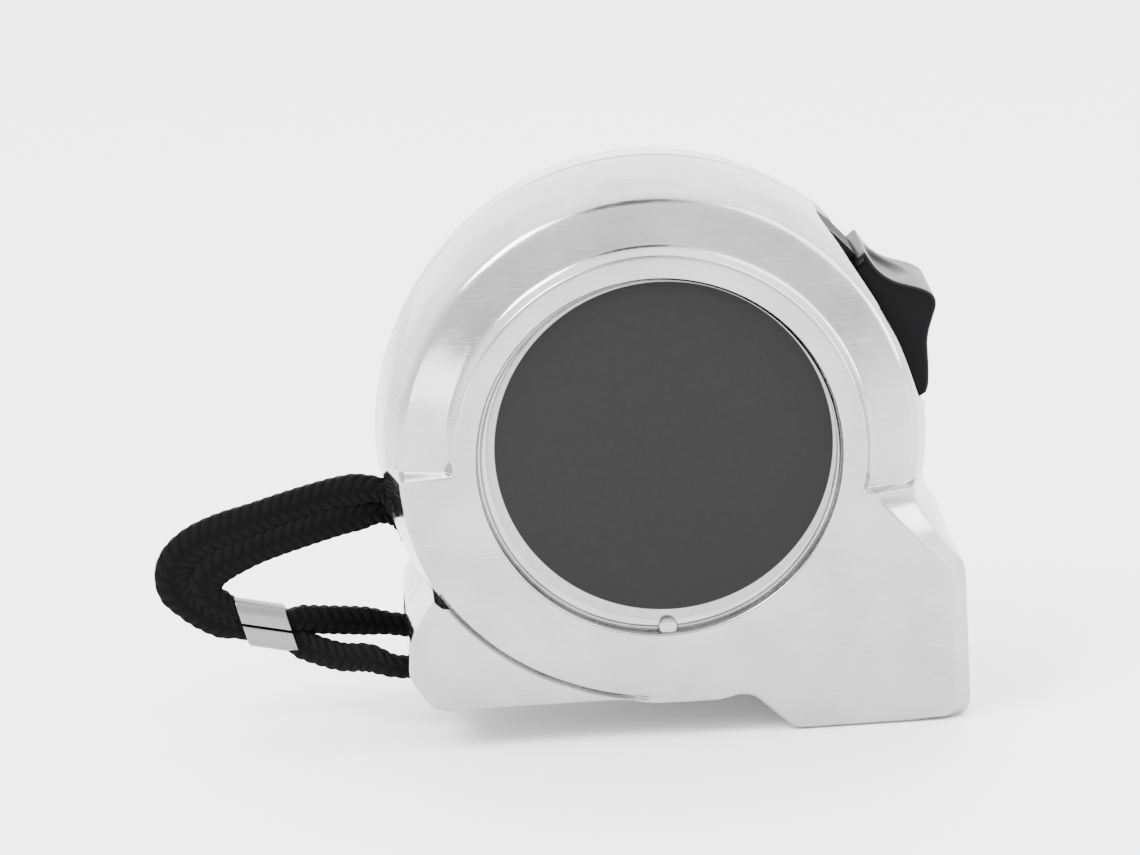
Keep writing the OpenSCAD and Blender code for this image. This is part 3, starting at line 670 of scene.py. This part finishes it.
def flat_rows(a):
    """Below the ledges: a flat face out to the drum's wall, which is cut level at the bottom."""
    down = -math.sin(math.radians(a))
    limit = BELLY_Z / down if down > 0.2 else math.inf
    wall = []
    rows = [(RIM_R + 0.1, DEPTH, 0.35), (32.7, 14.7, 0.3), *RIM_ROWS]
    for inset, (r, depth, fillet) in zip((0.1 * 3, 0.1 * 2, 0.1, 0), rows):
        wall.append((min(r, limit - inset), depth, fillet))
    face = [(r, DEPTH, 0.3) for r in (RING_R, 26.6, 28, 29.5, min(31, limit - 0.9))]
    return [*face, *wall, (wall[-1][0] - 0.6, PARTING, 0)]


def blended(rows, others, share):
    """Rows a share of the way to other rows."""
    return [tuple(lerp(p, q, share) for p, q in zip(row, other)) for row, other in zip(rows, others)]


def foot_rows(a, rows):
    """The foot: a lower face beyond a groove, and its own edge."""
    edge = ray_hit(FOOT_EDGE, a)
    groove = np.interp(a, [209, 222, 246, 262], [32.35, 31.9, 31.2, 31.05])
    share = smoothstep((edge - groove - 0.05) / 0.8)
    if share == 0:
        return rows
    # The face's rows are moved to the groove first, so that its ends do not fork
    inner = [*rows[:2], (28.5, DEPTH, 0.3), (groove - 0.3, DEPTH, 0.15)]
    rows = [*inner, (min(groove, rows[5][0] - 0.2), DEPTH, 0.1), *rows[5:]]
    wall = max(edge, rows[8][0])
    foot = [*inner, (groove, 15.2, 0.1), (min(groove + 0.45, edge - 0.3), FOOT_DEPTH, 0.2),
            (edge, FOOT_DEPTH, 0.5), (edge, 13.6, 0.3), (wall, SEAM_LIP, 0.08), (wall - 0.6, PARTING, 0)]
    return blended(rows, foot, share)


def nose_rows(a):
    """The nose: the flat face out to the diagonal's or the front's bevel."""
    inner, outer = ray_hit(NOSE_INNER, a), ray_hit(NOSE_OUTER, a)
    part = ray_hit(NOSE_PARTING, a)
    depth = np.interp(a, [310, 315, 334, 337, 348], [16.0, 14.8, 14.8, 14.4, 14.4])
    inner = min(inner, outer - 0.35)
    first = 26.2
    gap = (inner - first) / 4
    middle = lerp(outer, part, 0.5)
    # The wall keeps the drum's fullness up to its ledge
    if a > 332:
        middle = max(middle, 33.6)
    face = [(first + gap * k, DEPTH, 0.3) for k in (1, 2, 3)]
    return [(RING_R, DEPTH, 0.3), (first, DEPTH, 0.1), *face, (inner, DEPTH, 0.3), (outer, depth, 0.3),
            (middle, WALL_ROW[1], 2), (part, SEAM_LIP, 0.08), (part - 0.6, PARTING, 0)]


def column_rows(a):
    """The rows of one column of the shell's outer form, from the recess to the parting face."""
    if a <= 90 or a >= 270:
        right = a if a < 180 else a - 360
        ledge, turn = LEDGE_NOSE - 360, 1.3
        if right < ledge - turn:
            body = nose_rows(a) if a >= NOSE_FROM else flat_rows(a)
        elif right < ledge + 0.1:
            body = blended(nose_rows(a), crown_rows(), smoothstep((right - ledge + turn) / turn))
        else:
            body = crown_rows()
    else:
        body = blended(crown_rows(), flat_rows(a), smoothstep((a - LEDGE_REAR + 0.6) / 1.2))
    if FOOT_FROM < a < FOOT_TO:
        body = foot_rows(a, body)
    return RECESS_ROWS + body


def filleted(rows, steps=5):
    """The rows' corners as (radius, depth) points, each corner rounded by a short curve."""
    corners = [Vector(row[:2]) for row in rows]
    out = [corners[0]]
    for i in range(1, len(rows) - 1):
        before, here, after = corners[i - 1], corners[i], corners[i + 1]
        reach = max(rows[i][2], 0.03)
        p = here + (before - here) * min(0.45, reach / max((before - here).length, 1e-6))
        q = here + (after - here) * min(0.45, reach / max((after - here).length, 1e-6))
        for k in range(steps):
            t = k / (steps - 1)
            out.append(p * (1 - t) ** 2 + here * 2 * t * (1 - t) + q * t * t)
    return out + [corners[-1]]


def column_angles():
    """Even columns, with more of them at the ledges and where the outline turns."""
    angles = list(np.arange(0, 360, 0.75))
    dense = [(180.6, 182.3, 0.1), (207.4, 214.6, 0.15), (218, 229, 0.3), (253, 255.5, 0.3),
             (285, 289, 0.3), (291, 295, 0.25), (311, 317, 0.25), (333, 341, 0.3), (347.9, 350.4, 0.1)]
    for start, stop, step in dense:
        angles = [a for a in angles if not start - 0.05 <= a <= stop + 0.05]
        angles += list(np.arange(start, stop, step))
    return sorted(angles)


def ledge_shear(radius, degrees):
    """Turns the columns near the nose's ledge so that the ledge is level, not radial."""
    ledge_z, ledge_r, least_r = -5.3, 32, 25
    off = (degrees - LEDGE_NOSE + 180) % 360 - 180
    weight = smoothstep(1.5 - abs(off) / 8)
    here = math.degrees(math.asin(ledge_z / max(radius, least_r)))
    return weight * (here - math.degrees(math.asin(ledge_z / ledge_r)))


def shell_form(name, side):
    """The closed outer form of half the case; side is -1 for the front and 1 for the rear."""
    angles = column_angles()
    columns = []
    for a in angles:
        column = []
        for radius, depth in filleted(column_rows(a)):
            x, z = polar(radius, a + ledge_shear(radius, a))
            column.append((x, side * depth, z))
        columns.append(column)
    count, rows = len(columns), len(columns[0])
    points = [columns[c][r] for r in range(rows) for c in range(count)]
    faces = grid(rows, count, closed=True)
    points += [(0, side * LABEL_SEAT, 0), (0, side * PARTING, 0)]
    top, bottom = len(points) - 2, len(points) - 1
    last = (rows - 1) * count
    faces += [(top, (c + 1) % count, c) for c in range(count)]
    faces += [(bottom, last + c, last + (c + 1) % count) for c in range(count)]
    return solid(name, points, faces)


def button_pocket():
    """The oval pocket round the thumb button, as a tool."""
    middle, high_half, low_half, half_w = 26.0, 25.2, 25.0, 11.7
    floor_r, top_r, flare = 31.2, 44, 1.04
    points = []
    steps = 72
    for i in range(steps + 1):
        share = -math.cos(math.pi * i / steps) * 0.9995
        half, power = (high_half, 2.4) if share > 0 else (low_half, 3.5)
        wide = half_w * (1 - abs(share) ** power) ** (1 / power)
        a = middle + share * half
        for r, w in ((floor_r, wide), (top_r, wide * flare), (top_r, -wide * flare), (floor_r, -wide)):
            x, z = polar(r, a)
            points.append((x, w, z))
    faces = grid(steps + 1, 4, closed=True) + [(3, 2, 1, 0), tuple(range(steps * 4, steps * 4 + 4))]
    return solid("tool", points, faces)


# Screw places, and the outlines of the hollows for the blade's feed, the brake and the strap
SCREW_SPOTS = [(-21.8, -27.9), (33.4, -18.4), (16.6, -34.3)]
FEED_SPACE = [
    (-6, -20), (-6, -28.1), (7, -BAY_R), (17.4, FLOOR_Z + 0.6), (20.4, FLOOR_Z), (NOSE_X + 2, FLOOR_Z),
    (NOSE_X + 2, MOUTH_TOP), (22.4, MOUTH_TOP), (14.4, -20),
]
BRAKE_SPACE = [
    (16, -12), (19.4, MOUTH_TOP - 1), (32, MOUTH_TOP - 1), (32, -21.4), (29.6, -18.8), (26, -11),
]
STRAP_SPACE = [
    (-20, -2.8), (-36.8, -2.8), (-36.8, -10.8), (-32.2, -11.8), (-29.2, -18.4), (-30.6, -21.2),
    (-24, -26.2), (-20, -22),
]
# The small gap in the front face, where the foot leaves the drum
FRONT_GAP = [(-29.3, -15.4), (-28.5, -15.7), (-27.0, -17.9), (-27.9, -17.8), (-28.8, -17.0)]
BOSS_R = 2.1                    # round each screw, left standing in the hollow
ARM_HALF = 3.8                  # half the width of the lock's arm with its play


def strap_hollow():
    """The strap's way round inside the foot, clear of the drum's wall."""
    made = prism(STRAP_SPACE, -5, 5)
    boolean(made, rod(BAY_R + 0.9, -8, 8, sides=160))
    return made


def case_space():
    """Everything that is hollow inside the closed case, as one tool."""
    space = rod(BAY_R, -BAY_HALF, BAY_HALF, sides=160)
    strap = strap_hollow()
    tongue_groove = arc_tool(DRUM_R - 2.0, DRUM_R - 0.8, 39, 57, 4.5)
    for tool in (
        prism(BRAKE_SPACE, -ARM_HALF, ARM_HALF),
        button_pocket(),
        arc_tool(28, 36, 7.2, 48, ARM_HALF),
        tongue_groove,
        strap,
        box(-34.6, -28.4, -9, 9, -30, -22.6),
        box(-31.6, -23.6, -7.4, 7.4, -30, -22.6),
        rod(1.22, -BAY_HALF, BAY_HALF, PIN.x, PIN.z, 40),
        rod(3.22, -12.4, 12.4, sides=64),
    ):
        boolean(space, tool, "UNION")
    for x, z in SCREW_SPOTS:
        boolean(space, rod(BOSS_R, -BAY_HALF - 1, BAY_HALF + 1, x, z, 40))
    for tool in (
        prism(FEED_SPACE, -MOUTH_HALF, MOUTH_HALF),
        box(35.7, 40.7, -MOUTH_HALF, MOUTH_HALF, -NOSE_Z - 1, MOUTH_TOP + 1.6),
        box(33.1, 37.1, -9.5, 9.5, MOUTH_TOP - 1, MOUTH_TOP + 2.6),
    ):
        boolean(space, tool, "UNION")
    for x, z in SCREW_SPOTS:
        boolean(space, rod(1.12, -BAY_HALF + 1, BAY_HALF + 0.01, x, z, 32), "UNION")
    return space


def copy_of(tool):
    """A tool that can be used up, with the first one left whole."""
    made = tool.copy()
    made.data = tool.data.copy()
    bpy.context.scene.collection.objects.link(made)
    return made


def label_key(side):
    """The rounded peg at the recess's lowest point that stops the label turning."""
    rings = [(KEY_R, 14.9), (KEY_R, 15.7), (1.05, 15.95), (0.7, 16.05)]
    sides = 40
    points = [(x, side * depth, z) for r, depth in rings for x, z in circle(r, 0, KEY_Z, sides)]
    return solid("tool", points, tube(len(rings), sides))


def make_shells():
    """Both halves of the case: the closed form, less the hollow, with its own holes."""
    space = case_space()
    for name, side, node in (("front_case", -1, "front_shell"), ("rear_case", 1, "rear_shell")):
        shell = shell_form(name, side)
        boolean(shell, copy_of(space))
        boolean(shell, label_key(side), "UNION")
        if side < 0:
            boolean(shell, prism(FRONT_GAP, -DEPTH - 1, -DEPTH + 9))
        else:
            for x, z in SCREW_SPOTS:
                boolean(shell, rod(2.2, BAY_HALF, 20, x, z, 48))
                boolean(shell, rod(1.25, 1, 20, x, z, 32))
            boolean(shell, rod(1.55, 5, 20, sides=40))
            boolean(shell, rod(1.42, 12.2, 20, 0, 12, 32))
        finish_piece(shell, chrome, "case", "chrome_shell", node, sharp=35)
    bpy.data.objects.remove(space)


make_shells()


# ------------------------------------------------------------------ labels
def label(name, side, shift, material, node, holes=()):
    """A thin printed disc with a rounded edge and the key's notch."""
    radius = RECESS_R - 0.95
    rings = [(radius - 0.1, 0.0), (radius, 0.08), (radius, 0.3), (radius - 0.03, 0.37),
             (radius - 0.12, 0.4)]
    sides = 240
    points = []
    for r, rise in rings:
        points += [(x, side * (LABEL_SEAT + rise), z) for x, z in circle(r, shift.x, shift.z, sides)]
    disc = solid(name, points, tube(len(rings), sides))
    y_from, y_to = sorted((side * 14, side * 18))
    for x, z, r in ((0, KEY_Z, NOTCH_R), *holes):
        boolean(disc, rod(r, y_from, y_to, x, z, 48))
    finish_piece(disc, material, "case", "label", node, sharp=40)


label("front_badge", -1, LABEL_SHIFT, front_print, "front_label")
label("rear_badge", 1, Vector((0, 0, 0)), rear_print, "rear_label", ((0, 0, 3.4), (0, 12, 1.7)))


# ------------------------------------------------------------------ thumb button
# Its outline along the drum: degrees about the spindle, and mm above the drum
BUTTON_PROFILE = [
    (38.9, 0.3), (34.3, 0.2), (30.4, 1.15), (26.3, 3.55), (24.3, 4.3), (22.5, 4.1), (20.4, 3), (18.1, 1.9),
    (15.2, 1.15), (8.2, 0.2), (6.2, -0.3),
]


def thumb_button():
    """The saddle: a rounded ridge across it and a shallow dish above the ridge for the thumb."""
    half, low_r, corner, end_round = high("lock_button").y, 31.5, 0.7, 1.3
    per_degree = 0.6            # mm along the drum, near enough to space the rows evenly
    curve, _ = smooth_path([(a * per_degree, 0, h) for a, h in BUTTON_PROFILE], 0.18)
    rows = [(39.0, -0.5)] + [(p.x / per_degree, p.z) for p in curve] + [(5.6, -1.1)]
    across = 28
    ys = [-half + corner + (2 * half - 2 * corner) * i / across for i in range(across + 1)]
    points = []
    for a, lift in rows:
        top = DRUM_R + lift
        edge = min(corner, (top - low_r) * 0.4)
        trim = end_round * (1 - math.sqrt(max(0.0, 1 - max(0.0, (a - 37) / 2.01) ** 2)))
        ring = [(-half + 0.2, low_r), (-half, low_r + 0.15), (-half, lerp(low_r, top - edge, 0.5))]
        for k in range(6):
            t = math.pi / 2 * k / 6
            ring.append((-half + edge * (1 - math.cos(t)), top - edge * (1 - math.sin(t))))
        for y in ys:
            dish = max(0.0, 1 - ((a - 32.6) / 5.2) ** 2 - (y / 5.6) ** 2)
            ring.append((y, top - 0.75 * smoothstep(dish * 1.5)))
        ring += [(-y, r) for y, r in reversed(ring[:-len(ys)])]
        for y, r in ring:
            x, z = polar(r, a)
            points.append((x, y * (half - trim) / half, z))
    piece = solid("thumb_button", points, tube(len(rows), len(points) // len(rows)))
    stem = arc_tool(30.0, 31.9, 12, 34, 3.45)
    boolean(piece, stem, "UNION")
    finish_piece(piece, gloss_black, "lock", "black_gloss", "lock_button", sharp=50)


def button_tongue():
    """The ribbed plate that slides under the case's skin above the button."""
    top_r, low_r, half = DRUM_R - 0.9, DRUM_R - 1.9, 4.2
    a_from, a_span, rib_pitch, rib_height = 36, 13, 1.2, 0.16
    points, columns, rows = [], 56, 40
    for i in range(rows + 1):
        a = a_from + a_span * i / rows
        ring = [(-half, low_r)]
        for k in range(columns + 1):
            y = lerp(-half, half, k / columns)
            wave = 0.5 + 0.5 * math.cos(math.tau * y / rib_pitch)
            rib = rib_height * wave if abs(y) < half - 0.3 else 0.1
            ring.append((y, top_r - rib_height + rib))
        ring.append((half, low_r))
        points += [(polar(r, a)[0], y, polar(r, a)[1]) for y, r in ring]
    faces = tube(rows + 1, columns + 3)
    build("button_tongue", points, faces, dark_plastic, "lock", "black_gloss", sharp=50)


thumb_button()
button_tongue()


# ------------------------------------------------------------------ blade
def blade_strip():
    """The hollow strip from the feed to the hook."""
    curve_r, thick = 22.0, 0.3
    underside = low("tape_blade").z
    start, bend, stop = low("tape_run").x, low("tape_blade").x, high("tape_blade").x
    half_angle = math.asin(BLADE_HALF / curve_r)
    xs = list(np.linspace(start, bend, 41)) + list(np.linspace(bend, stop, 30))[1:]
    across = 32
    ring = [(lerp(-half_angle, half_angle, k / across), curve_r) for k in range(across + 1)]
    ring += [(t, curve_r - thick) for t, _ in reversed(ring)]
    points = []
    for x in xs:
        points += [(x, r * math.sin(t), underside + curve_r - r * math.cos(t)) for t, r in ring]
    piece = solid("blade_strip", points, tube(len(xs), len(ring)))
    finish_piece(piece, enamel, None, "blade_paint", "tape_run", "tape_blade", sharp=50)
    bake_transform(piece)


blade_strip()


# ------------------------------------------------------------------ metal and small parts
def rounded_copy(node, material, body, slot, width):
    """A CAD node's shape with its edges rounded and clean shading."""
    source = frame["nodes"][node]
    piece = bpy.data.objects.new(node + "_rounded", source.data.copy())
    bpy.context.scene.collection.objects.link(piece)
    made = bmesh.new()
    made.from_mesh(piece.data)
    bmesh.ops.remove_doubles(made, verts=made.verts, dist=1e-6)
    bmesh.ops.dissolve_limit(made, angle_limit=math.radians(1), verts=made.verts, edges=made.edges)
    made.to_mesh(piece.data)
    made.free()
    bevel(piece, width, 2, 40)
    finish_piece(piece, material, body, slot, node, sharp=38)


# Node, material, body, slot and the width of its rounded edges in mm
for node, material, body, slot, width in (
    ("case_screws", zinc, "case", "zinc_steel", 0.14),
    ("arbor_screw", zinc, "case", "zinc_steel", 0.16),
    ("clip_screw", zinc, "case", "zinc_steel", 0.16),
    ("belt_clip", clip_steel, "case", "clip_steel", 0.25),
    ("mouth_plate", steel, "case", "bare_steel", 0.12),
    ("mouth_bumper", rubber, "case", "black_rubber", 0.4),
    ("strap_pin", steel, "case", "bare_steel", 0.2),
    ("end_hook", nickel, "hook", "hook_steel", 0.16),
    ("hook_rivets", steel, "blade", "bare_steel", 0.1),
    ("lock_arm", dark_plastic, "lock", "arm_plastic", 0.2),
    ("brake_pad", rubber, "lock", "black_rubber", 0.2),
):
    rounded_copy(node, material, body, slot, width)

# CAD nodes that are shown as they are
for node, material in (
    ("arbor", steel),
    ("reel_washers", white_plastic),
    ("reel", dark_plastic),
    ("reel_cover", dark_plastic),
    ("mainspring", blued),
    ("detent_spring", blued),
    ("tape_coil", enamel),
    ("tape_feed", enamel),
):
    mesh = frame["nodes"][node].data
    mesh.materials.clear()
    mesh.materials.append(material)


# ------------------------------------------------------------------ floor, lights and surroundings
def floor_disc():
    """A wide pale floor under the nose's sole."""
    made, tree, shader, where = new_material("pale_floor", (0.9, 0.9, 0.9), 0.0, 0.55)
    grain = noise(tree, where, 30, 3.0)
    feed(tree, mix(tree, grain, (0.89, 0.89, 0.89), (0.91, 0.91, 0.91)), shader, "Base Color")
    rings, sides = (200, 2000, 16000), 96
    level = -NOSE_Z - 0.02
    points = [(x, y, level) for r in rings for x, y in circle(r, sides=sides)] + [(0, 0, level)]
    faces = grid(len(rings), sides, closed=True)
    faces += [(len(points) - 1, k, (k + 1) % sides) for k in range(sides)]
    mesh = bpy.data.meshes.new("floor")
    mesh.from_pydata([place(*p) for p in points], [], faces)
    mesh.materials.append(made)
    face_up(mesh)
    floor = bpy.data.objects.new("floor", mesh)
    bpy.context.scene.collection.objects.link(floor)


def face_up(mesh):
    """Turns every face of a flat mesh upwards."""
    for polygon in mesh.polygons:
        if polygon.normal.z < 0:
            polygon.flip()


def soft_light(name, at, towards, size, power):
    """A large rectangular lamp that the camera does not see, placed in mm from the spindle."""
    data = bpy.data.lights.new(name, "AREA")
    data.shape = "RECTANGLE"
    data.size, data.size_y = size[0] * MM, size[1] * MM
    data.energy = power
    lamp = bpy.data.objects.new(name, data)
    lamp.location = place(*at)
    lamp.visible_camera = False
    lamp.rotation_euler = (place(*towards) - place(*at)).to_track_quat("-Z", "Y").to_euler()
    bpy.context.scene.collection.objects.link(lamp)


def surroundings(strength):
    """A white room, dimmer towards the camera, with one dark patch high up in front."""
    world = bpy.data.worlds.new("white_room")
    bpy.context.scene.world = world
    world.use_nodes = True
    tree = world.node_tree
    tree.nodes.clear()
    way = add(tree, "ShaderNodeTexCoord").outputs["Generated"]
    back = vector_node(tree, "DOT_PRODUCT", way, (0.1, 0.86, 0.35))[1]
    level = remap(tree, back, -0.9, 0.8, 0.35, 1.0)
    near_patch = vector_node(tree, "DOT_PRODUCT", way, (0.0, -0.55, 0.835))[1]
    patch = remap(tree, near_patch, 0.955, 0.985, 1.0, 0.12)
    share = math_node(tree, "MULTIPLY", level, patch)
    light = math_node(tree, "MULTIPLY", share, strength)
    glow = add(tree, "ShaderNodeBackground", Color=(1, 1, 1, 1), Strength=light)
    out = add(tree, "ShaderNodeOutputWorld")
    tree.links.new(glow.outputs[0], out.inputs[0])


floor_disc()
surroundings(5.6)
soft_light("key", (-420, -260, 520), (0, 0, -10), (300, 300), 7)
soft_light("fill", (430, -160, 420), (0, 0, 0), (320, 420), 2)
soft_light("left_box", (-520, -660, 22), (0, 0, 10), (400, 110), 1.0)
soft_light("right_box", (560, -160, 130), (0, 0, 0), (220, 220), 1.3)
